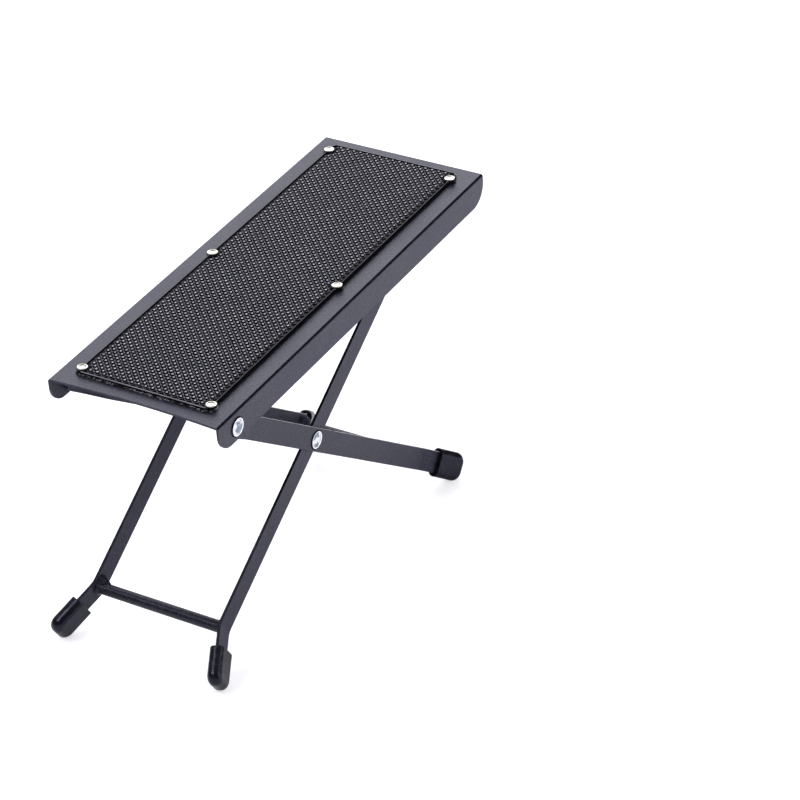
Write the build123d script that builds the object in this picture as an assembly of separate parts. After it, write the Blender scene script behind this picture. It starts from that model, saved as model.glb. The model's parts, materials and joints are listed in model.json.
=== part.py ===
import os
from math import acos, atan2, cos, degrees, hypot, isclose, radians, sin

from build123d import *

# A folding footrest: a tray on a scissor stand of two strip frames.
# The pieces are drawn in the tray's frame: X across, Y from the low near end to the far end,
# Z up from the tray's top face. At the end the whole stand is tilted and set on its feet.

# Tray, mm
tray_length = 250.0
tray_width = 94.0
tray_sheet = 1.2
flange_depth = 15.0
tray_bend_radius = 1.4
flange_near_radius = 9.5
flange_far_radius = 11.0
near_edge_dip = 1.7

# Tread mat
mat_width = 72.8
mat_thickness = 2.2
mat_near_margin = 8.8
mat_far_margin = 7.6
mat_corner_radius = 3.0
mat_tab_radius = 2.5
mat_tab_blend = 4.0

# Mat rivets, in two lines along the tray
mat_rivet_spread = 71.4
mat_rivet_near_margin = 12.2
mat_rivet_far_margin = 14.2
mat_rivet_rows = 3
mat_rivet_head_radius = 2.85
mat_rivet_head_height = 0.9
mat_rivet_shank_radius = 1.6
mat_rivet_dimple_radius = 1.35
mat_rivet_dimple_depth = 0.5
mat_rivet_tail_radius = 2.3
mat_rivet_tail_height = 0.6

# Stand strips
strip_width = 11.8
strip_thickness = 1.5
strip_edge_radius = 0.3
strip_bend_radius = 14.0
foot_splay = 20.0
joggle_start = 8.0
joggle_end = 26.0

# Stand geometry, along each strip
pivot_inset = 14.9
pivot_drop = 8.2
outer_upper_arm = 95.3
inner_upper_arm = 110.9
outer_bar_reach = 127.5
outer_bend_to_cap = 8.0
inner_bar_reach = 103.3
inner_bend_to_cap = 11.5

# Across the stand
flange_to_head = 1.4
flange_to_leg = 7.0
leg_to_rack = 2.2
axial_play = 0.1

# Rods and their welds
crossbar_radius = 3.0
lock_rod_radius = 3.0
lock_rod_overhang = 1.0
weld_leg = 1.7
weld_toe = 0.3
weld_length = 2.4

# Notched racks
rack_sheet = 1.5
rack_edge_gap = 0.1
notch_width = 8.6
notch_pitch = 14.0
notch_root_radius = 2.8
notch_count = 5
notches_beyond_rod = 2
rod_to_rest_notch = 170.1
rod_seat_gap = 0.3
rack_below_rod = 1.2
tooth_radius = 1.2
rack_end_margin = 5.0

# Pivot rivets, spacers and washers
pivot_shank_radius = 2.5
pivot_running_gap = 0.08
pivot_head_radius = 4.7
pivot_head_height = 1.1
pivot_head_rim = 0.4
flush_tail_radius = 3.5
flush_tail_depth = 0.8
centre_tail_radius = 4.0
centre_tail_height = 1.3
spacer_radius = 4.2
leg_washer_thickness = 0.35
leg_washer_radius = 5.4
tail_washer_thickness = 0.8
tail_washer_radius = 5.0

# Rubber foot caps
cap_length = 18.8
cap_width = 15.4
cap_thickness = 7.3
cap_end_radius = 5.4
cap_edge_radius = 3.3
cap_lip_radius = 0.5
cap_socket_depth = 14.5
cap_socket_fit = 0.05
cap_mouth_depth = 2.8
cap_mouth_side = 0.6
cap_mouth_face = 1.3
cap_squash = 0.3

# Search for the tilt, degrees either way and how often the span is halved
tilt_search_limit = 40.0
tilt_halvings = 60

# One overrun for all cuts
overrun = 1.0

# Places that differ by less than this share are the same
same_place_share = 1e-6

# Worked out across the stand
flange_face = tray_width / 2 - tray_sheet
outer_face = flange_face - flange_to_leg
outer_inner_face = outer_face - strip_thickness
outer_head_face = flange_face - flange_to_head
outer_head_inner_face = outer_head_face - strip_thickness
joggle_offset = outer_head_face - outer_face
inner_face = outer_inner_face - axial_play - leg_washer_thickness
inner_inner_face = inner_face - strip_thickness
rack_face = outer_face + leg_to_rack
rack_outer_face = rack_face + rack_sheet
lock_rod_half = rack_outer_face + lock_rod_overhang
tray_underside = -tray_sheet
mat_rivet_pitch = (tray_length - mat_rivet_near_margin - mat_rivet_far_margin) / (mat_rivet_rows - 1)
mat_rivet_rows_y = [mat_rivet_near_margin + mat_rivet_pitch * row for row in range(mat_rivet_rows)]

# Worked out in the tray's side view: the triangle of tray pivot, centre pivot and lock rod
pivot_y = pivot_inset
rod_y = pivot_y + rod_to_rest_notch
outer_angle = acos(
    (outer_upper_arm**2 + rod_to_rest_notch**2 - inner_upper_arm**2)
    / (2 * outer_upper_arm * rod_to_rest_notch)
)
centre_y = pivot_y + outer_upper_arm * cos(outer_angle)
centre_z = -pivot_drop - outer_upper_arm * sin(outer_angle)
inner_angle = atan2(-pivot_drop - centre_z, rod_y - centre_y)
outer_down = (0, cos(outer_angle), -sin(outer_angle))
inner_down = (0, -cos(inner_angle), -sin(inner_angle))

# Places down the strips: each foot bends at its crossbar, and its cap starts beyond the bend
outer_bend = outer_upper_arm + outer_bar_reach
inner_bend = inner_upper_arm + inner_bar_reach
outer_cap_start = outer_bend + outer_bend_to_cap
inner_cap_start = inner_bend + inner_bend_to_cap

# Local frames: X down the strip, Z outward. The outer one starts at the tray pivot,
# the inner one at the lock rod.
outer_frame = Plane((0, pivot_y, -pivot_drop), x_dir=outer_down, z_dir=(1, 0, 0))
inner_frame = Plane((0, rod_y, -pivot_drop), x_dir=inner_down, z_dir=(1, 0, 0))


def mirrored(shape):
    """The same piece on the other side of the stand."""
    return shape.mirror(Plane.YZ)


def along_x(radius, start, end, y, z):
    """Round bar along X between two places."""
    bar = Cylinder(radius, end - start, align=(Align.CENTER, Align.CENTER, Align.MIN))
    return Plane((start, y, z), x_dir=(0, 1, 0), z_dir=(1, 0, 0)) * bar


def ring_along_x(radius, bore, start, end, y, z):
    """Round ring along X between two places."""
    return along_x(radius, start, end, y, z) - along_x(bore, start - overrun, end + overrun, y, z)


def dome(radius, height):
    """Round rivet head on the XY plane, a slice of a ball."""
    ball = (radius**2 + height**2) / (2 * height)
    slice_plane = Pos(0, 0, height - ball)
    keep = Cylinder(radius + overrun, height, align=(Align.CENTER, Align.CENTER, Align.MIN))
    return slice_plane * Sphere(ball) & keep


def pan(radius, height, rim):
    """Flat rivet head on the XY plane with a rounded rim."""
    head = Cylinder(radius, height, align=(Align.CENTER, Align.CENTER, Align.MIN))
    return fillet(head.edges().filter_by(GeomType.CIRCLE).sort_by(Axis.Z)[-1:], rim)


def outward(x, y, z):
    """Plane across the stand at x, its normal pointing away from the middle."""
    return Plane((x, y, z), x_dir=(0, 1, 0), z_dir=(1, 0, 0))


def inward(x, y, z):
    """Plane across the stand at x, its normal pointing to the middle."""
    return Plane((x, y, z), x_dir=(0, 1, 0), z_dir=(-1, 0, 0))


# Tilt and height of the stand on its feet


def cap_low_point(frame, cap_start, bend_start, tilt):
    """Height of a foot cap's lowest point when the tray rises to its far end by tilt, in radians."""

    def height(vector):
        return vector.Y * sin(tilt) + vector.Z * cos(tilt)

    splay = radians(foot_splay)
    down, out = frame.x_dir, frame.z_dir
    axis = down * cos(splay) + out * sin(splay)
    across = out * cos(splay) - down * sin(splay)
    mouth = frame.origin + down * bend_start + axis * (cap_start - bend_start)
    corner = mouth + axis * (cap_length - cap_end_radius)
    side_reach = (cap_width / 2 - cap_end_radius) * abs(height(frame.y_dir))
    round_reach = (cap_end_radius - cap_edge_radius) * hypot(height(axis), height(frame.y_dir))
    face_reach = (cap_thickness / 2 - cap_edge_radius) * abs(height(across))
    return height(corner) - side_reach - round_reach - face_reach - cap_edge_radius


def front_low_point(tilt):
    return cap_low_point(inner_frame, inner_cap_start, inner_bend, tilt)


def rear_low_point(tilt):
    return cap_low_point(outer_frame, outer_cap_start, outer_bend, tilt)


def level_tilt():
    """The tilt at which the front and rear feet stand on one floor, by halving."""
    low, high = -radians(tilt_search_limit), radians(tilt_search_limit)
    for _ in range(tilt_halvings):
        middle = (low + high) / 2
        if rear_low_point(middle) < front_low_point(middle):
            low = middle
        else:
            high = middle
    return (low + high) / 2


tilt = level_tilt()
floor_drop = front_low_point(tilt) + cap_squash
on_floor = Pos(0, 0, -floor_drop) * Rot(degrees(tilt), 0, 0)


# Tray group


def tray():
    block = Box(
        tray_width, tray_length, flange_depth, align=(Align.CENTER, Align.MIN, Align.MAX)
    )
    long_edges = block.edges().filter_by(Axis.Y).group_by(Axis.Z)[-1]
    block = fillet(long_edges, tray_bend_radius)
    channel = Pos(0, -overrun, tray_underside) * Box(
        tray_width - 2 * tray_sheet,
        tray_length + 2 * overrun,
        flange_depth,
        align=(Align.CENTER, Align.MIN, Align.MAX),
    )
    inner_edges = channel.edges().filter_by(Axis.Y).group_by(Axis.Z)[-1]
    channel = fillet(inner_edges, tray_bend_radius - tray_sheet)
    shell = block - channel
    # side outline with its rounded lower corners
    side = Plane.YZ * Pos(tray_length / 2, -flange_depth / 2) * Rectangle(tray_length, flange_depth)
    side = extrude(side, tray_width / 2 + overrun, both=True)
    low_edges = side.edges().filter_by(Axis.X).group_by(Axis.Z)[0].sort_by(Axis.Y)
    side = fillet(low_edges[0], flange_near_radius)
    low_edges = side.edges().filter_by(Axis.X).group_by(Axis.Z)[0].sort_by(Axis.Y)
    side = fillet(low_edges[-1], flange_far_radius)
    shell = shell & side
    shell = shell - near_edge_cut()
    # holes for the mat rivets and the two pivots
    for x, y in mat_rivet_places():
        shell = shell - Pos(x, y, 0) * Cylinder(mat_rivet_shank_radius, 2 * tray_sheet + overrun)
    bore = pivot_shank_radius + pivot_running_gap
    pivot_hole = along_x(bore, flange_face - overrun, tray_width / 2 + overrun, pivot_y, -pivot_drop)
    return shell - pivot_hole - mirrored(pivot_hole)


def near_edge_cut():
    """Shallow arc taken out of the near edge between the flanges."""
    half_span = tray_width / 2 - tray_bend_radius
    arc_radius = (half_span**2 + near_edge_dip**2) / (2 * near_edge_dip)
    height = tray_sheet + 2 * overrun
    down_from_top = (Align.CENTER, Align.CENTER, Align.MAX)
    arc = Pos(0, near_edge_dip - arc_radius, overrun) * Cylinder(arc_radius, height, align=down_from_top)
    band = Pos(0, 0, overrun) * Box(2 * half_span, 2 * near_edge_dip, height, align=down_from_top)
    return arc & band


def mat_rivet_places():
    half = mat_rivet_spread / 2
    return [(x, y) for y in mat_rivet_rows_y for x in (-half, half)]


def tread_mat():
    length = tray_length - mat_near_margin - mat_far_margin
    outline = Pos(0, mat_near_margin + length / 2) * RectangleRounded(mat_width, length, mat_corner_radius)
    for x, y in mat_rivet_places():
        outline = outline + Pos(x, y) * Circle(mat_tab_radius)
    mat = extrude(outline, mat_thickness)
    # the corners where the tabs leave the long edges
    corners = [
        edge
        for edge in mat.edges().filter_by(Axis.Z)
        if isclose(abs(edge.center().X), mat_width / 2, rel_tol=same_place_share)
    ]
    mat = fillet(corners, mat_tab_blend)
    for x, y in mat_rivet_places():
        mat = mat - Pos(x, y, mat_thickness / 2) * Cylinder(mat_rivet_shank_radius, mat_thickness + overrun)
    return mat


def mat_rivet():
    """Dimpled rivet standing on the mat, its tail rolled under the tray."""
    shank = Cylinder(
        mat_rivet_shank_radius, mat_thickness + tray_sheet, align=(Align.CENTER, Align.CENTER, Align.MAX)
    )
    head = dome(mat_rivet_head_radius, mat_rivet_head_height)
    dimple_ball = (mat_rivet_dimple_radius**2 + mat_rivet_dimple_depth**2) / (2 * mat_rivet_dimple_depth)
    dimple = Pos(0, 0, mat_rivet_head_height - mat_rivet_dimple_depth + dimple_ball) * Sphere(dimple_ball)
    tail = Pos(0, 0, -mat_thickness - tray_sheet) * Cylinder(
        mat_rivet_tail_radius, mat_rivet_tail_height, align=(Align.CENTER, Align.CENTER, Align.MAX)
    )
    return (head - dimple) + shank + tail


def mat_rivets():
    return Compound([Pos(x, y, mat_thickness) * mat_rivet() for x, y in mat_rivet_places()])


def notch_places():
    """Places along the tray where the lock rod can sit, the far one first."""
    far = rod_y + notches_beyond_rod * notch_pitch
    return [far - notch_pitch * number for number in range(notch_count)]


def rack():
    """Angle with a notched web, standing under the tray beside the flange."""
    places = notch_places()
    near_end = places[-1] - notch_width / 2 - rack_end_margin
    far_end = places[0] + notch_width / 2 + rack_end_margin
    root_z = -pivot_drop + lock_rod_radius + rod_seat_gap
    low_z = -pivot_drop - rack_below_rod
    web = Plane.YZ * Pos((near_end + far_end) / 2, (tray_underside + low_z) / 2) * Rectangle(
        far_end - near_end, tray_underside - low_z
    )
    for y in places:
        notch = RectangleRounded(notch_width, 2 * (root_z - low_z), notch_root_radius)
        web = web - Plane.YZ * Pos(y, low_z) * notch
    tips = web.vertices().group_by(Axis.Z)[0]
    web = fillet(tips, tooth_radius)
    web = extrude(web, rack_sheet)
    foot_width = flange_face - (tray_bend_radius - tray_sheet) - rack_edge_gap - rack_face
    foot = Pos(rack_face, near_end, tray_underside) * Box(
        foot_width, far_end - near_end, rack_sheet, align=(Align.MIN, Align.MIN, Align.MAX)
    )
    return Pos(rack_face, 0, 0) * web + foot


# Stand frames


def strip(way_to_bend, bend_at, end_at):
    """Strip along local X with a rounded head, its foot bent outward.

    The way to the bend is a list of points down the middle of the strip, the first one the head's."""
    splay = radians(foot_splay)
    tail = end_at - bend_at
    head_middle = way_to_bend[0][-1]
    middle = way_to_bend[-1][-1]
    foot_end = (bend_at + tail * cos(splay), 0, middle + tail * sin(splay))
    path = FilletPolyline(*way_to_bend, foot_end, radius=strip_bend_radius)
    section = Plane((0, 0, head_middle), x_dir=(0, 1, 0), z_dir=(1, 0, 0)) * RectangleRounded(
        strip_width, strip_thickness, strip_edge_radius
    )
    head = Pos(0, 0, head_middle) * Cylinder(strip_width / 2, strip_thickness)
    head = fillet(head.edges().filter_by(GeomType.CIRCLE), strip_edge_radius)
    return sweep(section, path) + head


def strip_hole(place, middle, radius):
    return Pos(place, 0, middle) * Cylinder(radius, strip_thickness + overrun)


def outer_leg():
    """Strip that runs beside the inner one, its head set outward to lie by the flange."""
    end = outer_cap_start + cap_socket_depth - cap_socket_fit
    middle = outer_inner_face + strip_thickness / 2
    head_middle = middle + joggle_offset
    joggle = [(joggle_start, 0, head_middle), (joggle_end, 0, middle)]
    way = [(0, 0, head_middle), *joggle, (outer_bend, 0, middle)]
    leg = strip(way, outer_bend, end)
    leg = leg - strip_hole(0, head_middle, pivot_shank_radius)
    leg = leg - strip_hole(outer_upper_arm, middle, pivot_shank_radius)
    sink = Pos(0, 0, outer_head_inner_face) * Cone(
        flush_tail_radius, pivot_shank_radius, flush_tail_depth, align=(Align.CENTER, Align.CENTER, Align.MIN)
    )
    return outer_frame * (leg - sink)


def inner_leg():
    end = inner_cap_start + cap_socket_depth - cap_socket_fit
    middle = inner_inner_face + strip_thickness / 2
    leg = strip([(0, 0, middle), (inner_bend, 0, middle)], inner_bend, end)
    leg = leg - strip_hole(0, middle, lock_rod_radius)
    leg = leg - strip_hole(inner_upper_arm, middle, pivot_shank_radius + pivot_running_gap)
    return inner_frame * leg


def foot_cap(frame, bend_at, start_at, middle):
    """Rubber boot on the end of a strip, cut flat where it bears on the floor."""
    body = Box(cap_length, cap_width, cap_thickness, align=(Align.MIN, Align.CENTER, Align.CENTER))
    corners = body.edges().filter_by(Axis.Z).group_by(Axis.X)[-1]
    body = fillet(corners, cap_end_radius)
    rims = body.faces().sort_by(Axis.Z)
    long_edges = [
        edge
        for edge in rims[0].edges() + rims[-1].edges()
        if edge.center().X > cap_lip_radius
    ]
    body = fillet(long_edges, cap_edge_radius)
    body = fillet(body.faces().sort_by(Axis.X)[0].edges(), cap_lip_radius)
    socket = Box(
        cap_socket_depth,
        strip_width + 2 * cap_socket_fit,
        strip_thickness + 2 * cap_socket_fit,
        align=(Align.MIN, Align.CENTER, Align.CENTER),
    )
    mouth = Pos(-overrun, 0, 0) * Box(
        cap_mouth_depth + overrun,
        strip_width + 2 * cap_mouth_side,
        strip_thickness + 2 * cap_mouth_face,
        align=(Align.MIN, Align.CENTER, Align.CENTER),
    )
    mouth = fillet(mouth.edges().filter_by(Axis.X), cap_mouth_side)
    body = body - socket - mouth
    splay = radians(foot_splay)
    reach = start_at - bend_at
    seat = Plane(
        (bend_at + reach * cos(splay), 0, middle + reach * sin(splay)),
        x_dir=(cos(splay), 0, sin(splay)),
        z_dir=(-sin(splay), 0, cos(splay)),
    )
    cap = on_floor * (frame * (seat * body))
    box = cap.bounding_box()
    above_floor = Pos(box.center().X, box.center().Y, 0) * Box(
        tray_length, tray_length, tray_length, align=(Align.CENTER, Align.CENTER, Align.MIN)
    )
    return cap & above_floor


def rear_foot_cap():
    return foot_cap(outer_frame, outer_bend, outer_cap_start, outer_inner_face + strip_thickness / 2)


def front_foot_cap():
    return foot_cap(inner_frame, inner_bend, inner_cap_start, inner_inner_face + strip_thickness / 2)


def weld_bead(radius, y, z, face):
    """Ring of weld round a rod where it meets the inner face of a strip."""
    bead = Cone(
        radius + weld_leg, radius + weld_toe, weld_length, align=(Align.CENTER, Align.CENTER, Align.MIN)
    )
    bead = inward(face, y, z) * bead
    return bead - along_x(radius, face - weld_length - overrun, face + overrun, y, z)


def weld_pair(radius, y, z, face):
    bead = weld_bead(radius, y, z, face)
    return Compound([bead, mirrored(bead)])


outer_bar = outer_frame.origin + outer_frame.x_dir * outer_bend
inner_bar = inner_frame.origin + inner_frame.x_dir * inner_bend


# Pivots


def tray_pivot_rivet():
    under_head = tray_width / 2 + axial_play
    head = pan(pivot_head_radius, pivot_head_height, pivot_head_rim)
    head = outward(under_head, pivot_y, -pivot_drop) * head
    shank = along_x(pivot_shank_radius, outer_head_inner_face, under_head, pivot_y, -pivot_drop)
    tail = outward(outer_head_inner_face, pivot_y, -pivot_drop) * Cone(
        flush_tail_radius, pivot_shank_radius, flush_tail_depth, align=(Align.CENTER, Align.CENTER, Align.MIN)
    )
    return head + shank + tail


def tray_pivot_spacer():
    return ring_along_x(
        spacer_radius, pivot_shank_radius, outer_head_face, flange_face - axial_play, pivot_y, -pivot_drop
    )


def centre_pivot_rivet():
    tail_face = inner_inner_face - tail_washer_thickness - axial_play
    head = outward(outer_face, centre_y, centre_z) * pan(pivot_head_radius, pivot_head_height, pivot_head_rim)
    shank = along_x(pivot_shank_radius, tail_face, outer_face, centre_y, centre_z)
    tail = inward(tail_face, centre_y, centre_z) * dome(centre_tail_radius, centre_tail_height)
    return head + shank + tail


def centre_pivot_washer():
    bore = pivot_shank_radius + pivot_running_gap
    return ring_along_x(
        leg_washer_radius, bore, inner_face, inner_face + leg_washer_thickness, centre_y, centre_z
    )


def centre_tail_washer():
    bore = pivot_shank_radius + pivot_running_gap
    start = inner_inner_face - tail_washer_thickness
    return ring_along_x(tail_washer_radius, bore, start, inner_inner_face, centre_y, centre_z)


# Assembly


def middle_pieces():
    """Pieces that lie across the middle of the stand."""
    return {
        "tray": tray(),
        "tread_mat": tread_mat(),
        "mat_rivets": mat_rivets(),
        "lock_rod": along_x(lock_rod_radius, -lock_rod_half, lock_rod_half, rod_y, -pivot_drop),
        "lock_rod_welds": weld_pair(lock_rod_radius, rod_y, -pivot_drop, inner_inner_face),
        "front_crossbar": along_x(
            crossbar_radius, -inner_inner_face, inner_inner_face, inner_bar.Y, inner_bar.Z
        ),
        "front_crossbar_welds": weld_pair(crossbar_radius, inner_bar.Y, inner_bar.Z, inner_inner_face),
        "rear_crossbar": along_x(
            crossbar_radius, -outer_inner_face, outer_inner_face, outer_bar.Y, outer_bar.Z
        ),
        "rear_crossbar_welds": weld_pair(crossbar_radius, outer_bar.Y, outer_bar.Z, outer_inner_face),
    }


def side_pieces():
    """Pieces of the right side, which the left side repeats."""
    return {
        "rack": rack(),
        "outer_leg": outer_leg(),
        "inner_leg": inner_leg(),
        "tray_pivot_rivet": tray_pivot_rivet(),
        "tray_pivot_spacer": tray_pivot_spacer(),
        "centre_pivot_rivet": centre_pivot_rivet(),
        "centre_pivot_washer": centre_pivot_washer(),
        "centre_tail_washer": centre_tail_washer(),
    }


def footrest():
    """Every node, standing on the floor with the origin under the middle of the whole stand."""
    nodes = {name: on_floor * piece for name, piece in middle_pieces().items()}
    for name, piece in side_pieces().items():
        nodes[name + "_right"] = on_floor * piece
        nodes[name + "_left"] = on_floor * mirrored(piece)
    for name, cap in (("rear_foot_cap", rear_foot_cap()), ("front_foot_cap", front_foot_cap())):
        nodes[name + "_right"] = cap
        nodes[name + "_left"] = mirrored(cap)
    centre = Compound(list(nodes.values())).bounding_box().center()
    to_origin = Pos(0, -centre.Y, 0)
    return {name: to_origin * piece for name, piece in nodes.items()}


if __name__ == "__main__":
    os.makedirs("parts", exist_ok=True)
    for node, solid in footrest().items():
        export_step(solid, f"parts/{node}.step")
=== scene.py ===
import json
import math
import random

import bpy
from mathutils import Matrix, Vector
from mathutils.geometry import tessellate_polygon
from mathutils.noise import noise


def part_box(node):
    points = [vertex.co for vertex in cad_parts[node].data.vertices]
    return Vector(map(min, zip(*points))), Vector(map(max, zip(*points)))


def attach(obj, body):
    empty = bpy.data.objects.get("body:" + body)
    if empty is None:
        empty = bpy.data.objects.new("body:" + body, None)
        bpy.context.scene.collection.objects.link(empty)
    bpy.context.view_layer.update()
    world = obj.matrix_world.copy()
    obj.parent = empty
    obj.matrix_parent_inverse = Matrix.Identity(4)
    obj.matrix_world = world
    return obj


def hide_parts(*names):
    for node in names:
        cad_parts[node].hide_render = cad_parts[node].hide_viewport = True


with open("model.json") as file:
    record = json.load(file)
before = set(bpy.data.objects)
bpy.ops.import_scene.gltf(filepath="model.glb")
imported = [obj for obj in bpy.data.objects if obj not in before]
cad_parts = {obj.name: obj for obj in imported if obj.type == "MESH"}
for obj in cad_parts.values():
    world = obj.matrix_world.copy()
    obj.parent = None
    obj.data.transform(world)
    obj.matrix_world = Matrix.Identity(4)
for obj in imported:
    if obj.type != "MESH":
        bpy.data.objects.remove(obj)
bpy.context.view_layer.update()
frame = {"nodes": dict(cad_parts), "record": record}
nodes = frame["nodes"]
MM = 0.001
random.seed(5)


def link(name, data):
    """An object of the scene with this mesh, lamp or camera."""
    thing = bpy.data.objects.new(name, data)
    bpy.context.scene.collection.objects.link(thing)
    return thing


# Camera, in metres: the place and directions that fit the photograph's edges and rivets

CAMERA_PLACE = Vector((0.685909, -1.066115, 0.791406))
CAMERA_RIGHT = Vector((0.866884, 0.498511, -0.000231))
CAMERA_UP = Vector((-0.242809, 0.422637, 0.873168))
CAMERA_BACK = Vector((0.435381, -0.756878, 0.487420))
camera_data = bpy.data.cameras.new("camera")
camera_data.sensor_width = 36.0
camera_data.lens = 131.4606
camera_data.clip_start = 0.05
camera_data.clip_end = 50.0
camera = link("camera", camera_data)
camera.matrix_world = Matrix((
    (CAMERA_RIGHT.x, CAMERA_UP.x, CAMERA_BACK.x, CAMERA_PLACE.x),
    (CAMERA_RIGHT.y, CAMERA_UP.y, CAMERA_BACK.y, CAMERA_PLACE.y),
    (CAMERA_RIGHT.z, CAMERA_UP.z, CAMERA_BACK.z, CAMERA_PLACE.z),
    (0, 0, 0, 1),
))
bpy.context.scene.camera = camera
bpy.context.scene.view_settings.view_transform = "Standard"


# Node helpers

# Colour sockets of the Mix node, whose names its other kinds share
MIX_A, MIX_B, MIX_RESULT = 6, 7, 2


class Nodes:
    """A node tree, with short calls for the nodes used here."""

    def __init__(self, tree, output_kind, place):
        self.tree = tree
        self.tree.nodes.clear()
        self.output = self.add(output_kind)
        coordinates = self.add("ShaderNodeTexCoord")
        self.place = coordinates.outputs[place]
        self.normal = coordinates.outputs["Normal"]

    def add(self, kind, **settings):
        node = self.tree.nodes.new(kind)
        for name, value in settings.items():
            setattr(node, name, value)
        return node

    def join(self, source, target):
        self.tree.links.new(source, target)

    def feed(self, target, value):
        if isinstance(value, bpy.types.NodeSocket):
            self.join(value, target)
        else:
            target.default_value = value

    def math(self, operation, a, b=0.0):
        node = self.add("ShaderNodeMath", operation=operation)
        self.feed(node.inputs[0], a)
        self.feed(node.inputs[1], b)
        return node.outputs[0]

    def noise(self, scale, detail, roughness=0.5, place=None):
        node = self.add("ShaderNodeTexNoise")
        self.join(place or self.place, node.inputs["Vector"])
        node.inputs["Scale"].default_value = scale
        node.inputs["Detail"].default_value = detail
        node.inputs["Roughness"].default_value = roughness
        return node.outputs[0]

    def stretch(self, scales):
        """The place, scaled along each axis."""
        node = self.add("ShaderNodeMapping")
        self.join(self.place, node.inputs["Vector"])
        node.inputs["Scale"].default_value = scales
        return node.outputs[0]

    def span(self, value, low, high, to_low=0.0, to_high=1.0):
        """Smooth step of a value, from to_low where it is low to to_high where it is high."""
        node = self.add("ShaderNodeMapRange", interpolation_type="SMOOTHSTEP")
        self.join(value, node.inputs["Value"])
        for name, number in (("From Min", low), ("From Max", high), ("To Min", to_low), ("To Max", to_high)):
            node.inputs[name].default_value = number
        return node.outputs[0]

    def blend(self, share, a, b):
        node = self.add("ShaderNodeMix", data_type="RGBA")
        self.feed(node.inputs["Factor"], share)
        self.feed(node.inputs[MIX_A], a)
        self.feed(node.inputs[MIX_B], b)
        return node.outputs[MIX_RESULT]

    def bump(self, height, distance, normal=None):
        node = self.add("ShaderNodeBump")
        node.inputs["Distance"].default_value = distance
        self.join(height, node.inputs["Height"])
        if normal is not None:
            self.join(normal, node.inputs["Normal"])
        return node.outputs[0]

    def dot(self, vector, direction):
        node = self.add("ShaderNodeVectorMath", operation="DOT_PRODUCT")
        self.join(vector, node.inputs[0])
        node.inputs[1].default_value = direction
        return node.outputs["Value"]

    def product(self, *values):
        result = values[0]
        for value in values[1:]:
            result = self.math("MULTIPLY", result, value)
        return result

    def rays(self):
        """Two values: 1 for rays from the camera or through glass, and 1 for reflections."""
        path = self.add("ShaderNodeLightPath")
        seen = self.math("MAXIMUM", path.outputs["Is Camera Ray"], path.outputs["Is Transmission Ray"])
        return seen, path.outputs["Is Glossy Ray"]


class Shader(Nodes):
    """A material's node tree."""

    def __init__(self, name):
        self.material = bpy.data.materials.new(name)
        self.material.use_nodes = True
        super().__init__(self.material.node_tree, "ShaderNodeOutputMaterial", "Object")

    def principled(self, **inputs):
        node = self.add("ShaderNodeBsdfPrincipled")
        for name, value in inputs.items():
            self.feed(node.inputs[name.replace("_", " ")], value)
        self.join(node.outputs[0], self.output.inputs["Surface"])
        return self.material


def grey(level, blue):
    """A grey whose blue is so many times its red."""
    return (level, level * 0.99, level * blue, 1.0)


# Tint of the shine on enamel and rubber
COOL = (0.70, 0.71, 1.0, 1.0)


def paint(name, base, specular, rough, fold_shade=0.0, edge_shade=0.0, wear_and_highlight=0.0):
    """Dark satin stove enamel: grain, cloudy sheen, folds and narrow edges painted dark as shade, or upper
    edges with wear and a painted highlight.
    """
    s = Shader(name)
    clouds = s.noise(24.0, 4.0)
    grain = s.noise(1050.0, 2.0, 0.6)
    specks = s.span(s.noise(1000.0, 2.0), 0.64, 0.74)
    upward = s.dot(s.normal, (0.0, 0.0, 1.0))
    across = s.math("ABSOLUTE", s.dot(s.normal, (1.0, 0.0, 0.0)))
    # a fold's rounding leans sideways and looks up; there it gets painted shade, or wear with a painted
    # highlight
    leaning = s.product(s.span(across, 0.15, 0.35), s.span(across, 0.80, 0.91, 1.0, 0.0))
    fold = s.product(leaning, s.span(upward, 0.1, 0.2))
    colour = s.blend(s.span(clouds, 0.3, 0.7), grey(base * 0.85, 1.58), grey(base * 1.15, 1.64))
    colour = s.blend(s.span(grain, 0.42, 0.66), colour, grey(base * 2.3, 1.35))
    colour = s.blend(s.product(specks, 0.25), colour, grey(base * 2.6, 1.2))
    dark = 0.0
    if fold_shade or edge_shade:
        # a strip's narrow edge never faces sideways; it gets painted shade
        narrow = s.span(across, 0.10, 0.30, 1.0, 0.0)
        dark = s.math("MAXIMUM", s.product(fold, fold_shade), s.product(narrow, edge_shade))
        # painted shade on folds and narrow edges: near-black colour, and metallic so that the sheen goes
        # dark too
        colour = s.blend(dark, colour, grey(0.001, 1.5))
    if wear_and_highlight:
        # light where it looks up, and on the roundings beside that: wear with a painted highlight
        scuffs = s.span(s.noise(190.0, 5.0, 0.7), 0.32, 0.48)
        bare_and_highlight = s.product(s.math("MAXIMUM", fold, s.span(upward, 0.86, 0.89)), scuffs, wear_and_highlight)
        colour = s.blend(bare_and_highlight, colour, grey(0.88, 0.96))
    clouded = s.span(clouds, 0.3, 0.7, -0.03, 0.04)
    rough_map = s.math("ADD", s.span(grain, 0.3, 0.7, rough - 0.07, rough + 0.07), clouded)
    peel = s.bump(s.noise(600.0, 2.0), 0.05 * MM)
    return s.principled(
        Base_Color=colour, Roughness=rough_map, Metallic=dark, Normal=s.bump(grain, 0.16 * MM, peel),
        Specular_IOR_Level=specular, Specular_Tint=COOL,
    )


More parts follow.
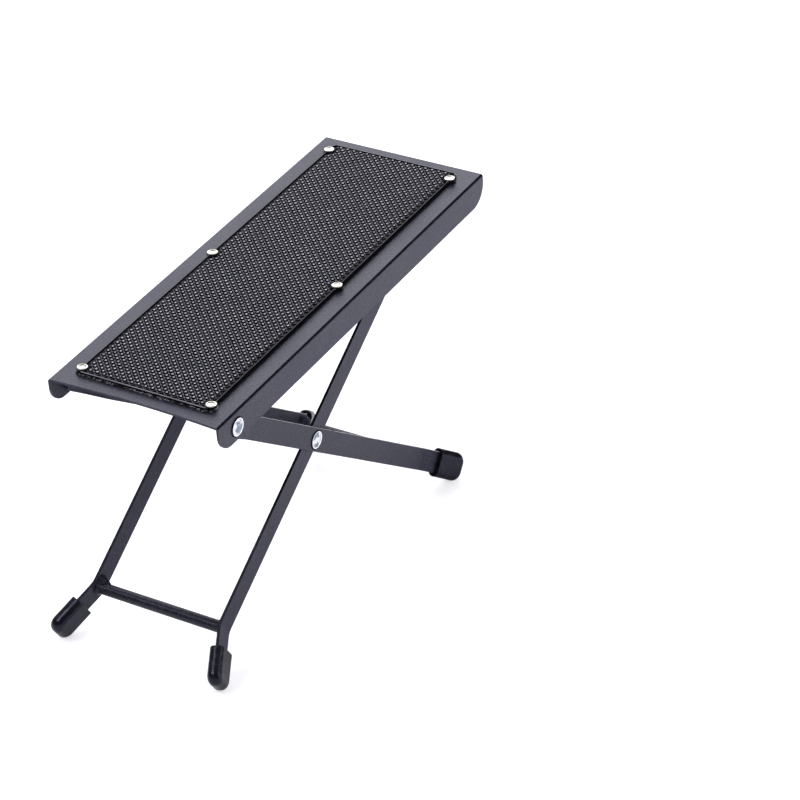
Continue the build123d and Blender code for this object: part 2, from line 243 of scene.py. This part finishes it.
def moulded_rubber(name, low, high, rough_low, rough_high, specular):
    """Moulded rubber with dusty patches and a fine grain."""
    s = Shader(name)
    dust = s.span(s.noise(90.0, 5.0, 0.6), 0.35, 0.72)
    grain = s.noise(2600.0, 3.0, 0.6)
    colour = s.blend(dust, grey(low, 1.2), grey(high, 1.12))
    grainy = s.span(grain, 0.3, 0.7, -0.03, 0.04)
    rough = s.math("ADD", s.span(dust, 0.0, 1.0, rough_low, rough_high), grainy)
    return s.principled(
        Base_Color=colour, Roughness=rough, Normal=s.bump(grain, 0.03 * MM),
        Specular_IOR_Level=specular, Specular_Tint=COOL,
    )


def frayed_ply():
    """Cut edge of the lower ply: black rubber with grey threads torn out of it."""
    s = Shader("frayed_ply")
    threads = s.span(s.noise(900.0, 4.0, 0.7, s.stretch((0.7, 0.7, 1.6))), 0.47, 0.60)
    tufts = s.span(s.noise(330.0, 3.0, 0.6), 0.40, 0.56)
    colour = s.blend(s.product(threads, tufts), grey(0.006, 1.2), grey(0.36, 1.15))
    fibres = s.bump(s.noise(1800.0, 3.0, 0.7), 0.3 * MM)
    rough = s.span(threads, 0.0, 1.0, 0.62, 0.85)
    return s.principled(Base_Color=colour, Roughness=rough, Normal=fibres, Specular_IOR_Level=0.2)


def cap_gloss():
    """Glossy moulded rubber with faint mould flow and handling marks."""
    s = Shader("cap_gloss")
    marks = s.span(s.noise(240.0, 5.0, 0.65), 0.42, 0.7)
    grain = s.noise(1500.0, 2.0)
    colour = s.blend(marks, grey(0.008, 1.5), grey(0.016, 1.45))
    rough = s.math("ADD", s.span(marks, 0.0, 1.0, 0.21, 0.33), s.span(grain, 0.3, 0.7, -0.03, 0.03))
    soft = s.bump(s.noise(60.0, 3.0), 0.4 * MM)
    return s.principled(
        Base_Color=colour, Roughness=rough, Normal=s.bump(grain, 0.04 * MM, soft),
        Specular_IOR_Level=0.27, Specular_Tint=COOL,
    )


def nickel(name, bright, dulled, stains_and_reflection):
    """Plated rivet steel with fine lines, small dents, dulled patches and a share of bluish patches: real
    stain where the share is small, a painted reflection where it is large.
    """
    s = Shader(name)
    lines = s.noise(900.0, 3.0, 0.6, s.stretch((1.0, 1.0, 0.2)))
    dents = s.noise(460.0, 3.0)
    dull = s.span(s.noise(300.0, 4.0), 0.42, 0.7)
    stain_and_reflection_patches = s.span(s.noise(150.0, 2.0), 0.50, 0.58)
    # bluish patches: stain, and on the pivot heads' faces a painted reflection
    colour = s.blend(s.product(stain_and_reflection_patches, stains_and_reflection), s.blend(dull, bright, dulled), (0.13, 0.18, 0.24, 1.0))
    rough = s.math("ADD", s.span(dull, 0.0, 1.0, 0.12, 0.28), s.span(lines, 0.3, 0.7, -0.03, 0.05))
    dented = s.bump(dents, 0.10 * MM, s.bump(lines, 0.02 * MM))
    return s.principled(Base_Color=colour, Roughness=rough, Metallic=1.0, Normal=dented)


def seam_shade_paint():
    """Painted shade: near-black in the seam under a rivet head and round it, with a crumbly grain."""
    s = Shader("seam_shade_paint")
    crumbs = s.span(s.noise(1400.0, 4.0, 0.7), 0.4, 0.7)
    colour = s.blend(crumbs, grey(0.002, 1.3), grey(0.012, 1.3))
    rough = s.span(crumbs, 0.0, 1.0, 0.5, 0.8)
    raised = s.bump(crumbs, 0.05 * MM)
    return s.principled(Base_Color=colour, Roughness=rough, Normal=raised, Specular_IOR_Level=0.1)


def dull_zinc():
    """Darkened plated washer and spacer steel."""
    s = Shader("dull_zinc")
    spangle = s.span(s.noise(500.0, 4.0, 0.6), 0.3, 0.7)
    colour = s.blend(spangle, (0.07, 0.07, 0.08, 1.0), (0.17, 0.17, 0.19, 1.0))
    rough = s.span(spangle, 0.0, 1.0, 0.32, 0.5)
    return s.principled(Base_Color=colour, Roughness=rough, Metallic=1.0, Normal=s.bump(spangle, 0.03 * MM))


# the tray and inner legs: folds, and the inner legs' narrow edges, painted dark as shade
tray_paint = paint("tray_paint", 0.027, 0.34, 0.40, fold_shade=0.85)
# the outer legs' upper edges: wear with a painted highlight
outer_paint = paint("outer_paint", 0.023, 0.27, 0.39, wear_and_highlight=0.95)
inner_paint = paint("inner_paint", 0.023, 0.27, 0.39, fold_shade=0.6, edge_shade=0.6)
# the same enamel with a darker base for the rods and their beads: painted shade
shaded_rod_paint = paint("shaded_rod_paint", 0.014, 0.28, 0.30)
# one black rubber in four copies, each with real dusty patches: the ground painted darker as shade in the
# pits, the ridges, knots and studs painted lighter as highlights
shaded_ground_rubber = moulded_rubber("shaded_ground_rubber", 0.0015, 0.004, 0.5, 0.7, 0.12)
lit_ridge_rubber = moulded_rubber("lit_ridge_rubber", 0.030, 0.070, 0.42, 0.55, 0.30)
lit_knot_rubber = moulded_rubber("lit_knot_rubber", 0.130, 0.230, 0.35, 0.50, 0.40)
lit_stud_rubber = moulded_rubber("lit_stud_rubber", 0.270, 0.460, 0.20, 0.30, 0.80)
frayed = frayed_ply()
gloss = cap_gloss()
bright_nickel = nickel("bright_nickel", (0.97, 0.97, 0.98, 1.0), (0.86, 0.87, 0.90, 1.0), 0.1)
# darker copies of the nickel: on the pivot heads' faces, mostly bluish, a painted reflection; in the mat
# rivets' dimples, painted shade
painted_reflection_nickel = nickel("painted_reflection_nickel", (0.74, 0.75, 0.78, 1.0), (0.52, 0.55, 0.60, 1.0), 0.9)
warm_nickel = nickel("warm_nickel", (0.70, 0.68, 0.65, 1.0), (0.48, 0.46, 0.43, 1.0), 0.0)
shaded_dimple_nickel = nickel("shaded_dimple_nickel", (0.52, 0.49, 0.455, 1.0), (0.34, 0.315, 0.29, 1.0), 0.0)
seam_shade = seam_shade_paint()
zinc = dull_zinc()

MATERIALS = {
    "tray_paint": tray_paint,
    "frame_paint": outer_paint,
    "mat_rubber": shaded_ground_rubber,
    "cap_rubber": gloss,
    "rivet_steel": bright_nickel,
    "washer_steel": zinc,
}
# Nodes that aren't painted as the rest of their slot
OWN_PAINT = {
    "inner_leg_left": inner_paint,
    "inner_leg_right": inner_paint,
    "front_crossbar": shaded_rod_paint,
    "rear_crossbar": shaded_rod_paint,
    "lock_rod": shaded_rod_paint,
}
for subpart in frame["record"]["subparts"]:
    name = subpart["node"]
    for slot in nodes[name].material_slots:
        slot.material = OWN_PAINT.get(name, MATERIALS[subpart["material_slot"]])


# The tray's own frame: X across, Y along from the near end, Z up from its top face

LOOKS_UP = 0.9


def tray_frame():
    """The largest of the tray's faces that look up gives the frame's Z."""
    mesh = nodes["tray"].data
    sums = {}
    for polygon in mesh.polygons:
        if polygon.normal.z > LOOKS_UP:
            key = tuple(round(c, 2) for c in polygon.normal)
            sums[key] = sums.get(key, Vector((0, 0, 0))) + polygon.normal * polygon.area
    normal = max(sums.values(), key=lambda vector: vector.length)
    turn = Matrix.Rotation(math.atan2(-normal.y, normal.z), 4, "X")
    local = [turn.inverted() @ vertex.co for vertex in mesh.vertices]
    near = min(point.y for point in local)
    top = max(point.z for point in local)
    return turn @ Matrix.Translation((0, near, top))


TRAY = tray_frame()
TRAY_INVERSE = TRAY.inverted()
TRAY_UP = (TRAY.to_3x3() @ Vector((0, 0, 1))).normalized()


class Form:
    """Points and faces of a piece as they are made; each face has a material number."""

    def __init__(self):
        self.points, self.faces, self.numbers = [], [], []

    def face(self, corners, number=0):
        self.faces.append(tuple(corners))
        self.numbers.append(number)

    def bands(self, first, count, levels, numbers=None):
        """Faces between closed rings of count points that follow each other."""
        for level in range(levels - 1):
            for i in range(count):
                a, b = first + level * count + i, first + level * count + (i + 1) % count
                self.face((a, b, b + count, a + count), numbers[level] if numbers else 0)

    def fill(self, loops, number):
        """Flat faces across the tray's Z, inside the first loop of points and outside the others."""
        flat = [[Vector((*(TRAY_INVERSE @ self.points[i]).xy, 0)) for i in loop] for loop in loops]
        lookup = [i for loop in loops for i in loop]
        for triangle in tessellate_polygon(flat):
            self.face([lookup[i] for i in triangle], number)

    def mesh(self, name):
        mesh = bpy.data.meshes.new(name)
        mesh.from_pydata([tuple(p) for p in self.points], [], self.faces)
        mesh.polygons.foreach_set("material_index", self.numbers)
        mesh.update()
        return mesh


def new_piece(name, form, materials, body, smooth=True):
    """A piece on a body; its faces' material numbers count through the materials."""
    mesh = form.mesh(name)
    piece = link(name, mesh)
    for material in materials:
        mesh.materials.append(material)
    mesh.polygons.foreach_set("use_smooth", [smooth] * len(mesh.polygons))
    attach(piece, body)
    return piece


# Tread mat: two plies, with a rim, crossing ridges and a stud in each cell

# How far from the top a point of the top face may be
FLATNESS = 0.02 * MM


def mat_outline():
    """Outer loop of the mat's top face in the tray's frame, in metres, and its height."""
    mesh = nodes["tread_mat"].data
    points = [TRAY_INVERSE @ vertex.co for vertex in mesh.vertices]
    top = max(point.z for point in points)
    edges = {}
    for polygon in mesh.polygons:
        if all(abs(points[i].z - top) < FLATNESS for i in polygon.vertices):
            keys = [(round(points[i].x, 6), round(points[i].y, 6)) for i in polygon.vertices]
            for a, b in zip(keys, keys[1:] + keys[:1]):
                # an edge that two faces share isn't on the border
                if (b, a) in edges:
                    del edges[(b, a)]
                else:
                    edges[(a, b)] = True
    following = dict(edges.keys())
    loops = []
    while following:
        start, here = following.popitem()
        loop = [start, here]
        while here in following:
            here = following.pop(here)
            loop.append(here)
        loops.append(loop[:-1] if loop[0] == loop[-1] else loop)
    outer = max(loops, key=lambda loop: max(x for x, _ in loop) - min(x for x, _ in loop))
    return [Vector(p) for p in outer], top


def resample(loop, step):
    """The closed loop again, with its sides cut into pieces of about a step."""
    out = []
    for a, b in zip(loop, loop[1:] + loop[:1]):
        count = max(1, round((b - a).length / step))
        out += [a.lerp(b, i / count) for i in range(count)]
    return out


def outward_normals(loop):
    area = sum(a.x * b.y - b.x * a.y for a, b in zip(loop, loop[1:] + loop[:1]))
    sign = 1.0 if area > 0 else -1.0
    normals = []
    for i, here in enumerate(loop):
        along = (loop[(i + 1) % len(loop)] - loop[i - 1]).normalized()
        normals.append(Vector((along.y, -along.x)) * sign)
    return normals


CORNER_CUTS = 8


def rounded_rectangle(x0, y0, x1, y1, radius):
    """Loop of points, with its corners in short straight pieces."""
    left, right, low, high = x0 + radius, x1 - radius, y0 + radius, y1 - radius
    points = []
    for cx, cy, start in ((right, high, 0), (left, high, 90), (left, low, 180), (right, low, 270)):
        for i in range(CORNER_CUTS + 1):
            a = math.radians(start + 90 * i / CORNER_CUTS)
            points.append(Vector((cx + radius * math.cos(a), cy + radius * math.sin(a))))
    return points


# Wider than a rivet's head and narrower than the gap between two
RIVET_GROUP = 10 * MM


def rivet_places():
    """Middles of the mat's rivets in the tray's frame, from the groups of points in their mesh."""
    clusters = []
    for vertex in nodes["mat_rivets"].data.vertices:
        point = TRAY_INVERSE @ vertex.co
        for cluster in clusters:
            if (point.xy - cluster[0].xy).length < RIVET_GROUP:
                cluster.append(point)
                break
        else:
            clusters.append([point])
    places = []
    for cluster in clusters:
        xs, ys = [p.x for p in cluster], [p.y for p in cluster]
        places.append(Vector(((min(xs) + max(xs)) / 2, (min(ys) + max(ys)) / 2)))
    return places


# Studs and knots take turns at this pitch, across and along
PITCH = 1.93 * MM
# How far the field lies below the rim
GROUND_DROP = 0.80 * MM
# Width of the rim, and of the margin that studs and ridges keep
END_RIM = 0.6 * MM
SIDE_RIM = 0.4 * MM
END_MARGIN = 1.5 * MM
SIDE_MARGIN = 1.45 * MM
# How far from its near end the mat's outer edge is painted light as a highlight and its cut frayed
NEAR_END = 6.0 * MM
OUTLINE_STEP = 0.5 * MM
CORNER_RADIUS = 1.2 * MM
CORNER_STEP = 1.2 * MM
# Where along the tray the mat's side is straight, between two rivets
BARE_SIDE = (40 * MM, 90 * MM)
# Noise scales of the slow and the fast waves in the mat's edge
SLOW, FAST = 420, 1100
# material numbers: the black rubber painted darker as shade, a lighter copy as a painted highlight on the
# rim, the frayed ply, and a dimmer painted highlight
BLACK, LIT_RIM, FRAYED, DIM_LIT_RIM = 0, 1, 2, 3

outline, mat_top = mat_outline()
outline = resample(outline, OUTLINE_STEP)
normals = outward_normals(outline)
rivets = rivet_places()
rivet_reach = max(abs(r.x) for r in rivets)
first_row = min(r.y for r in rivets)
side_x = max(abs(p.x) for p in outline if BARE_SIDE[0] < p.y < BARE_SIDE[1])
low_y = min(p.y for p in outline)
high_y = max(p.y for p in outline)
ground_box = (-side_x + SIDE_RIM, low_y + END_RIM, side_x - SIDE_RIM, high_y - END_RIM)
stud_box = (-side_x + SIDE_MARGIN, low_y + END_MARGIN, side_x - SIDE_MARGIN, high_y - END_MARGIN)


def mat_body(form):
    """The mat without its studs: two plies, a frayed cut at the near end and a rim round a lower field."""
    # height as a share of the mat's top, set-in in mm, waviness in mm, material of the band above
    profile = [
        (0.0, -0.05, 0.10, FRAYED), (0.05, -0.40, 0.40, FRAYED), (0.26, -0.48, 0.50, FRAYED),
        (0.36, -0.20, 0.34, FRAYED), (0.42, 0.42, 0.12, BLACK), (0.52, 0.45, 0.10, BLACK),
        (0.58, 0.10, 0.08, BLACK), (0.80, 0.0, 0.04, BLACK), (0.93, 0.06, 0.03, LIT_RIM),
        (0.985, 0.20, 0.02, LIT_RIM), (1.0, 0.36, 0.0, LIT_RIM),
    ]
    count = len(outline)
    for level, (share, set_in, wave, _) in enumerate(profile):
        for p, n in zip(outline, normals):
            sway = noise(Vector((p.x, p.y, level * 0.004)) * SLOW)
            sway += 0.5 * noise(Vector((p.x, p.y, 1 + level * 0.003)) * FAST)
            q = p + n * ((sway * wave - set_in) * MM)
            form.points.append(TRAY @ Vector((q.x, q.y, mat_top * share)))
    form.bands(0, count, len(profile), [row[3] for row in profile])
    # beyond the near end the outer edge has a dimmer painted highlight and the cut isn't frayed
    for index, corners in enumerate(form.faces):
        if (TRAY_INVERSE @ form.points[corners[0]]).y > low_y + NEAR_END:
            form.numbers[index] = DIM_LIT_RIM if form.numbers[index] == LIT_RIM else BLACK
    inner = resample(rounded_rectangle(*ground_box, CORNER_RADIUS), CORNER_STEP)
    # set-in in mm and height as a share of the mat's top, from the rim down to the field
    steps = [(0.0, 1.0), (0.10, 0.95), (0.22, 1 - GROUND_DROP / mat_top)]
    first, many = len(form.points), len(inner)
    for set_in, share in steps:
        for p, n in zip(inner, outward_normals(inner)):
            q = p - n * (set_in * MM)
            form.points.append(TRAY @ Vector((q.x, q.y, mat_top * share)))
    form.bands(first, many, len(steps), [LIT_RIM, BLACK])
    top_ring = range((len(profile) - 1) * count, len(profile) * count)
    form.fill([top_ring, range(first, first + many)], LIT_RIM)
    form.fill([range(first + 2 * many, first + 3 * many)], BLACK)
    form.fill([range(count)], BLACK)


def bosses(form):
    """Small raised discs that carry the rivet heads and stop at the mat's rim."""
    # radius in mm and height as a share of the mat's top
    rings = [(3.55, 1 - GROUND_DROP / mat_top), (3.4, 0.93), (3.15, 0.99)]
    count = 40
    for centre in rivets:
        base = len(form.points)
        for radius, share in rings:
            for i in range(count):
                a = 2 * math.pi * i / count
                x = centre.x + radius * MM * math.cos(a)
                y = centre.y + radius * MM * math.sin(a)
                x = max(-side_x + SIDE_RIM, min(side_x - SIDE_RIM, x))
                form.points.append(TRAY @ Vector((x, y, mat_top * share)))
        form.bands(base, count, len(rings))
        form.face(range(base + 2 * count, base + 3 * count))


def crossings(way, offset):
    """Ends of the line y = way * x + offset inside the studded field; way is 1 or -1."""
    x0, y0, x1, y1 = stud_box
    ends = [Vector((x, way * x + offset)) for x in (x0, x1) if y0 <= way * x + offset <= y1]
    ends += [Vector(((y - offset) * way, y)) for y in (y0, y1) if x0 < (y - offset) * way < x1]
    return sorted(ends, key=lambda p: p.x)


# crests take a lit copy of the rubber as a painted highlight, flanks the shaded copy as painted shade
CREST, FLANK, KNOT = 0, 1, 2
SHORTEST_RIDGE = 1.5 * MM
STUD_EDGE_GAP = 0.5 * MM
STUD_RIVET_GAP = 3.9 * MM
ROWS_BEFORE_RIVETS = 6


def ridges(form):
    """Low bars across the field both ways, on the cells' borders."""
    low = mat_top - GROUND_DROP
    # more lines than cross the field, at odd steps, so that they run between the studs
    reach = int((high_y + side_x) / PITCH) + 4
    for way, crest in ((1, 0.44), (-1, 0.40)):
        for odd in range(-reach | 1, reach, 2):
            ends = crossings(way, first_row + odd * PITCH)
            if len(ends) != 2 or (ends[0] - ends[1]).length < SHORTEST_RIDGE:
                continue
            a, b = ends
            across = Vector((a.y - b.y, b.x - a.x)).normalized()
            section = [(-0.24, -0.05), (-0.15, crest), (0.15, crest), (0.24, -0.05)]
            wide = len(section)
            base = len(form.points)
            pieces = max(1, round((b - a).length / (2 * PITCH)))
            for i in range(pieces + 1):
                p = a.lerp(b, i / pieces)
                for off, height in section:
                    q = p + across * (off * MM)
                    form.points.append(TRAY @ Vector((q.x, q.y, low + height * MM)))
            for i in range(pieces):
                for k in range(wide - 1):
                    c = base + i * wide + k
                    form.face((c, c + wide, c + wide + 1, c + 1), CREST if k == 1 else FLANK)


def studs(form):
    """One small dome in each cell and a low knot where the ridges cross."""
    x0, y0, x1, y1 = stud_box
    keep = STUD_EDGE_GAP
    low = mat_top - GROUND_DROP
    # rings of radius and height in mm, height of the peak, points round, materials of the bands and the cap
    shapes = [
        ([(0.72, -0.04), (0.70, 0.62), (0.58, 0.86), (0.40, 0.92)], 0.93, 8, (FLANK, FLANK, CREST), CREST),
        ([(0.50, 0.10), (0.44, 0.50), (0.24, 0.58)], 0.60, 6, (FLANK, KNOT), KNOT),
    ]
    # more rows and columns than fit in the field, since those outside are skipped
    rows = int((y1 - y0) / PITCH) + 4
    columns = int(x1 / PITCH) + 2
    for j in range(-ROWS_BEFORE_RIVETS, rows):
        for i in range(-columns, columns + 1):
            centre = Vector((i * PITCH, first_row + j * PITCH))
            if not (x0 + keep < centre.x < x1 - keep and y0 + keep < centre.y < y1 - keep):
                continue
            if min((centre - r).length for r in rivets) < STUD_RIVET_GAP:
                continue
            size = random.uniform(0.94, 1.05) * MM
            centre += Vector((random.uniform(-0.05, 0.05), random.uniform(-0.05, 0.05))) * MM
            turn = random.uniform(0, math.pi)
            rings, peak, count, sides, cap = shapes[(i + j) % 2]
            base, last = len(form.points), count * (len(rings) - 1)
            for radius, height in rings:
                for k in range(count):
                    a = turn + 2 * math.pi * k / count
                    x = centre.x + radius * size * math.cos(a)
                    y = centre.y + radius * size * math.sin(a)
                    form.points.append(TRAY @ Vector((x, y, low + height * size)))
            form.points.append(TRAY @ Vector((centre.x, centre.y, low + peak * size)))
            form.bands(base, count, len(rings), sides)
            for k in range(count):
                form.face((base + last + k, base + last + (k + 1) % count, base + last + count), cap)


body_form, ridge_form, stud_form = Form(), Form(), Form()
mat_body(body_form)
bosses(body_form)
ridges(ridge_form)
studs(stud_form)
# the mat body's looks: the rubber painted dark as shade, a lit copy as painted highlight on the rim, the
# frayed ply, and a dimmer lit copy
mat_looks = [shaded_ground_rubber, lit_knot_rubber, frayed, lit_ridge_rubber]
mat = new_piece("studded_mat", body_form, mat_looks, "tray", smooth=False)
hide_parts("tread_mat")
new_piece("mat_ridges", ridge_form, [lit_ridge_rubber, shaded_ground_rubber], "tray", smooth=False)
new_piece("mat_studs", stud_form, [lit_stud_rubber, shaded_ground_rubber, lit_knot_rubber], "tray")


# Rivets, turned about their axis, with the seam under the head painted dark as shade

# the seam bands and the line inside a pivot's rim are painted shade
METAL, SEAM, FACE = 0, 1, 2
CRISP = math.radians(40)
# The profiles are in mm
HEAD_DEPTH = 1.1
SHANK_RADIUS = 2.5


def turned(form, base, axis, profile, count=56):
    """Closed turned body; a row has a place along the axis, a radius and the next band's material."""
    side = axis.orthogonal().normalized()
    other = axis.cross(side)
    first = len(form.points)
    for along, radius, _ in profile:
        for i in range(count):
            a = 2 * math.pi * i / count
            out = (side * math.cos(a) + other * math.sin(a)) * radius
            form.points.append(base + (axis * along + out) * MM)
    form.bands(first, count, len(profile), [row[2] for row in profile])
    form.face(range(first, first + count), SEAM)
    form.face(range(first + (len(profile) - 1) * count, first + len(profile) * count), profile[-1][2])


def pivot_profile(length, radius, tail):
    """Rivet with a flat head: a bright rolled rim, a line of painted shade inside it and a slightly crowned
    middle.
    """
    head = [
        (-HEAD_DEPTH, radius + 0.35, SEAM), (-1.08, radius + 0.02, SEAM), (-0.78, radius - 0.03, SEAM),
        (-0.66, radius - 0.12, SEAM), (-0.58, radius - 0.28, METAL), (-0.54, radius - 0.44, METAL),
        (-0.57, radius - 0.64, METAL), (-0.68, radius - 0.84, SEAM), (-0.71, radius - 0.94, FACE),
        (-0.68, radius - 1.2, FACE), (-0.60, radius - 1.6, FACE), (-0.53, radius - 2.1, FACE),
        (-0.48, 1.8, FACE), (-0.45, 0.9, FACE), (-0.44, 0.3, FACE),
    ]
    shank_end = (length - HEAD_DEPTH, SHANK_RADIUS, METAL)
    return tail + [shank_end] + [(length + along, r, look) for along, r, look in head]


def rivet_piece(node, name, form, looks, body):
    """A turned piece in a node's place, smooth but for its corners."""
    piece = new_piece(name, form, looks, body)
    piece.data.set_sharp_from_angle(angle=CRISP)
    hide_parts(node)


def pivot_rivet(node, body, outward, tail):
    """outward is 1 where the head looks along X and -1 where it looks against it."""
    low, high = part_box(node)
    centre = (low + high) / 2
    length = (high.x - low.x) / MM
    radius = (high.z - low.z) / 2 / MM
    base = Vector((low.x if outward > 0 else high.x, centre.y, centre.z))
    form = Form()
    turned(form, base, Vector((outward, 0, 0)), pivot_profile(length, radius, tail))
    rivet_piece(node, node + "_turned", form, [bright_nickel, seam_shade, painted_reflection_nickel], body)


FLUSH_TAIL = [(0.0, 0.4, METAL), (0.0, 2.9, METAL)]
DOMED_TAIL = [
    (0.0, 0.3, METAL), (0.05, 1.2, METAL), (0.22, 2.4, METAL), (0.55, 3.3, METAL), (0.95, 3.8, METAL),
    (1.3, 4.0, METAL), (1.32, SHANK_RADIUS, METAL),
]
for end, outward in (("right", 1), ("left", -1)):
    pivot_rivet("tray_pivot_rivet_" + end, "outer_frame", outward, FLUSH_TAIL)
    pivot_rivet("centre_pivot_rivet_" + end, "outer_frame", outward, DOMED_TAIL)


def mat_rivets():
    """Six rivets as one piece, each with a dimple in its head."""
    points = [TRAY_INVERSE @ vertex.co for vertex in nodes["mat_rivets"].data.vertices]
    bottom = min(p.z for p in points) / MM
    top = mat_top / MM
    radius = (max(p.x for p in points) - rivet_reach) / MM
    profile = [
        (bottom, 0.3, METAL), (bottom, 2.1, METAL), (bottom + 0.1, 2.3, METAL), (bottom + 0.6, 2.3, METAL),
        (bottom + 0.6, 1.6, METAL), (top + 0.01, 1.6, METAL), (top + 0.01, radius, SEAM),
        (top + 0.11, radius + 0.01, SEAM), (top + 0.32, radius - 0.05, SEAM),
        (top + 0.40, radius - 0.14, METAL), (top + 0.54, radius - 0.50, METAL),
        (top + 0.62, radius - 0.74, METAL), (top + 0.64, radius - 0.84, METAL),
        (top + 0.61, radius - 0.96, FACE), (top + 0.40, radius - 1.3, FACE),
        (top + 0.28, radius - 1.75, FACE), (top + 0.24, 0.25, FACE),
    ]
    form = Form()
    for place in rivets:
        turned(form, TRAY @ Vector((place.x, place.y, 0)), TRAY_UP, profile, 44)
    rivet_piece("mat_rivets", "mat_rivets_turned", form, [warm_nickel, seam_shade, shaded_dimple_nickel], "tray")


mat_rivets()


# Weld beads: a rippled lump round each rod, thick on one side, where it meets a strip

ROD_RADIUS = 3.0 * MM


def bead(form, centre, inward, seed, lump_turn, lump):
    """lump_turn is where round the rod it is thick, in degrees from +Y towards +Z, and lump is how thick."""
    count, levels = 96, 11
    first = len(form.points)
    for k in range(levels):
        t = k / (levels - 1)
        swell = math.sin(math.pi * t)
        for i in range(count):
            a = 2 * math.pi * i / count
            near_lump = max(0.0, math.cos(a - math.radians(lump_turn))) ** 1.6
            wander = noise(Vector((math.cos(a) * 1.4 + seed, math.sin(a) * 1.4, seed * 0.7)))
            ripple = 0.07 * math.sin(t * 15 + a * 3 + seed)
            ripple += 0.08 * noise(Vector((math.cos(a) * 6, math.sin(a) * 6, seed + t * 4)))
            # how far the bead climbs the strip and runs along the rod, in mm
            leg = 0.9 + 0.35 * wander + 2.7 * lump * near_lump
            length = 1.2 + 0.4 * wander + 4.4 * lump * near_lump
            height = leg * (1 - t) ** 1.35 + (0.2 + 0.6 * lump * near_lump) * swell
            r = ROD_RADIUS + (height + ripple * swell - 0.05 * t) * MM
            along = length * t * MM
            x = centre.x + inward * along
            form.points.append(Vector((x, centre.y + r * math.cos(a), centre.z + r * math.sin(a))))
    form.bands(first, count, levels)


def beads(node, name, body, seed, lump_turn, lumps):
    """The two beads of a rod, with the lumps of its left and right end."""
    low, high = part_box(node)
    centre = (low + high) / 2
    form = Form()
    for side, x, lump in ((-1, low.x, lumps[0]), (1, high.x, lumps[1])):
        bead(form, Vector((x, centre.y, centre.z)), -side, seed + side, lump_turn, lump)
    piece = new_piece(name, form, [shaded_rod_paint], body)
    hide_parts(node)


beads("front_crossbar_welds", "front_crossbar_beads", "inner_frame", 3.1, 60, (1.0, 0.35))
beads("rear_crossbar_welds", "rear_crossbar_beads", "outer_frame", 7.7, 90, (0.9, 0.6))
beads("lock_rod_welds", "lock_rod_beads", "inner_frame", 12.4, 250, (0.2, 0.2))


# Floor, world and lights

FLOOR_REACH = 6.0
FLOOR_GLOW = 0.6
FILL_LIGHT = 0.42


def floor():
    """Pale floor; reflections find it bright to the object's right and in a strip before it."""
    s = Shader("floor")
    diffuse = s.add("ShaderNodeBsdfDiffuse")
    s.feed(diffuse.inputs["Color"], s.blend(s.noise(3.0, 3.0), grey(0.76, 1.08), grey(0.78, 1.08)))
    glow = s.add("ShaderNodeEmission")
    beside = s.span(s.dot(s.place, (1.0, 0.0, 0.0)), 0.045, 0.10, 0.03, 0.55)
    along = s.dot(s.place, (0.0, 1.0, 0.0))
    before = s.product(s.span(along, -0.26, -0.20), s.span(along, -0.13, -0.08, 0.55, 0.0))
    seen, mirrored = s.rays()
    reflected = s.product(mirrored, s.math("MAXIMUM", beside, before))
    s.feed(glow.inputs["Strength"], s.math("ADD", s.product(seen, FLOOR_GLOW), reflected))
    both = s.add("ShaderNodeAddShader")
    s.join(diffuse.outputs[0], both.inputs[0])
    s.join(glow.outputs[0], both.inputs[1])
    s.join(both.outputs[0], s.output.inputs["Surface"])
    form = Form()
    form.points = [(x * FLOOR_REACH, y * FLOOR_REACH, 0) for x, y in ((-1, -1), (1, -1), (1, 1), (-1, 1))]
    form.face(range(len(form.points)))
    piece = link("floor", form.mesh("floor"))
    piece.data.materials.append(s.material)


def studio():
    """White to the camera; in reflections dim in front, lighter behind and dark behind on the right."""
    world = bpy.data.worlds.new("studio")
    bpy.context.scene.world = world
    world.use_nodes = True
    s = Nodes(world.node_tree, "ShaderNodeOutputWorld", "Generated")
    room = s.span(s.dot(s.place, (0.0, 1.0, 0.0)), -0.45, 0.05, 0.05, 0.55)
    beside = s.span(s.dot(s.place, (0.54, 0.84, 0.0)), 0.56, 0.74)
    below = s.span(s.dot(s.place, (0.0, 0.0, 1.0)), 0.62, 0.74, 1.0, 0.0)
    card = s.math("SUBTRACT", 1.0, s.product(beside, below, 0.97))
    seen, mirrored = s.rays()
    lit = s.math("SUBTRACT", 1.0, s.math("MAXIMUM", mirrored, seen))
    light = s.math("ADD", s.product(mirrored, room, card), s.product(lit, FILL_LIGHT))
    sky = s.add("ShaderNodeBackground")
    s.feed(sky.inputs["Strength"], s.math("ADD", seen, light))
    s.join(sky.outputs[0], s.output.inputs["Surface"])


def softbox(name, place, aim, size, power):
    """Rectangular lamp; places and sizes in metres, power in watts."""
    data = bpy.data.lights.new(name, "AREA")
    data.shape = "RECTANGLE"
    data.size, data.size_y = size
    data.energy = power
    lamp = link(name, data)
    lamp.location = place
    lamp.rotation_mode = "QUATERNION"
    lamp.rotation_quaternion = (Vector(aim) - Vector(place)).to_track_quat("-Z", "Y")


floor()
studio()
softbox("top_softbox", (-0.80, 1.20, 1.30), (0, 0, 0.12), (1.8, 1.8), 27)
softbox("right_softbox", (1.3, 0.2, 0.5), (0, 0, 0.1), (0.9, 1.1), 7)
softbox("front_softbox", (-0.62, -1.15, 1.52), (0, 0, 0.05), (0.75, 0.35), 11)
